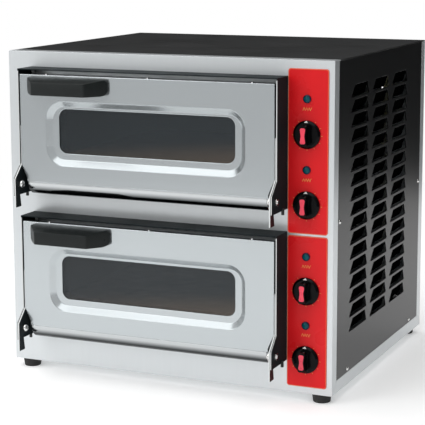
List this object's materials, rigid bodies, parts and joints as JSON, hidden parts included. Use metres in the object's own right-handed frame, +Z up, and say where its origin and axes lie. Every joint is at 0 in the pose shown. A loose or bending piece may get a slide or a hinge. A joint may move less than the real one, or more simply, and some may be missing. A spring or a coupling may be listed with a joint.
{
  "type": "countertop pizza oven",
  "caption": "Stacked two-deck countertop pizza oven, steel cabinet with louvred dark sides, drop-down windowed doors, knobs on a red control strip.",
  "frame": {"origin": "on the surface the feet stand on, under the centre of the bounding box", "axes": "+Z up; the fascia with the doors faces -Y; +X is to the right as seen from the front"},
  "size_m": [0.564, 0.57, 0.529],
  "materials": {
    "stainless": "brushed stainless steel sheet",
    "liner_steel": "satin stainless steel, inner door pan",
    "chamber_steel": "aluminised steel, heat dulled",
    "black_sheet": "black textured enamel",
    "hood_steel": "dark satin steel",
    "arm_steel": "dark satin steel plate",
    "zinc_sheet": "galvanised sheet",
    "firebrick": "pressed refractory stone",
    "element_sheath": "oxidised element sheath",
    "rock_wool": "rock wool blanket",
    "silicone": "black heat-proof silicone",
    "red_panel": "red screen-printed face plate",
    "knob_black": "glossy black moulding",
    "knob_red": "coral red insert",
    "spindle_steel": "turned steel",
    "lamp_rim": "dark navy rim",
    "lamp_lens": "teal pilot lens",
    "thermostat_body": "cream moulding",
    "black_rubber": "black rubber",
    "bright_fastener": "bright plated",
    "door_glass": "tempered, lightly tinted",
    "handle_black": "satin black phenolic",
    "gland_black": "black nylon"
  },
  "bodies": {
    "cabinet": {"front_fascia": "stainless", "rear_panel": "stainless", "base_tray": "stainless", "chamber_upper": "chamber_steel", "chamber_lower": "chamber_steel", "top_cover": "black_sheet", "left_side_panel": "black_sheet", "right_side_panel": "black_sheet", "hood_upper": "hood_steel", "hood_lower": "hood_steel", "deck_divider": "zinc_sheet", "control_bulkhead": "zinc_sheet", "stone_upper": "firebrick", "stone_lower": "firebrick", "heating_elements_upper": "element_sheath", "heating_elements_lower": "element_sheath", "insulation_upper": "rock_wool", "insulation_lower": "rock_wool", "mouth_seal_upper": "silicone", "mouth_seal_lower": "silicone", "control_panel_upper": "red_panel", "control_panel_lower": "red_panel", "lamp_bezels": "lamp_rim", "lamp_lenses": "lamp_lens", "thermostats": "thermostat_body", "feet": "black_rubber", "edge_plugs": "black_rubber", "door_stops": "black_rubber", "hinge_bolts": "bright_fastener", "hinge_nuts": "bright_fastener", "cabinet_screws": "bright_fastener", "cable_gland": "gland_black"},
    "door_upper": {"door_skin_upper": "stainless", "door_liner_upper": "liner_steel", "hinge_arm_left_upper": "arm_steel", "hinge_arm_right_upper": "arm_steel", "glass_seal_upper": "silicone", "door_screws_upper": "bright_fastener", "door_glass_upper": "door_glass", "door_handle_upper": "handle_black"},
    "door_lower": {"door_skin_lower": "stainless", "door_liner_lower": "liner_steel", "hinge_arm_left_lower": "arm_steel", "hinge_arm_right_lower": "arm_steel", "glass_seal_lower": "silicone", "door_screws_lower": "bright_fastener", "door_glass_lower": "door_glass", "door_handle_lower": "handle_black"},
    "control_knob_1": {"knob_1": "knob_black", "knob_grip_1": "knob_red", "knob_spindle_1": "spindle_steel"},
    "control_knob_2": {"knob_2": "knob_black", "knob_grip_2": "knob_red", "knob_spindle_2": "spindle_steel"},
    "control_knob_3": {"knob_3": "knob_black", "knob_grip_3": "knob_red", "knob_spindle_3": "spindle_steel"},
    "control_knob_4": {"knob_4": "knob_black", "knob_grip_4": "knob_red", "knob_spindle_4": "spindle_steel"}
  },
  "joints": [
    {"name": "door_lower_hinge", "type": "hinge", "parent": "cabinet", "child": "door_lower", "pos_m": [-0.0165, -0.257, 0.083], "axis": [1, 0, 0], "range_deg": [0, 90]},
    {"name": "door_upper_hinge", "type": "hinge", "parent": "cabinet", "child": "door_upper", "pos_m": [-0.0165, -0.257, 0.3205], "axis": [1, 0, 0], "range_deg": [0, 90]},
    {"name": "knob_1_turn", "type": "hinge", "parent": "cabinet", "child": "control_knob_1", "pos_m": [0.237, -0.2262, 0.4172], "axis": [0, 1, 0], "range_deg": [0, 290]},
    {"name": "knob_2_turn", "type": "hinge", "parent": "cabinet", "child": "control_knob_2", "pos_m": [0.237, -0.2262, 0.3096], "axis": [0, 1, 0], "range_deg": [0, 290]},
    {"name": "knob_3_turn", "type": "hinge", "parent": "cabinet", "child": "control_knob_3", "pos_m": [0.237, -0.2262, 0.1762], "axis": [0, 1, 0], "range_deg": [0, 290]},
    {"name": "knob_4_turn", "type": "hinge", "parent": "cabinet", "child": "control_knob_4", "pos_m": [0.237, -0.2262, 0.0686], "axis": [0, 1, 0], "range_deg": [0, 290]}
  ]
}
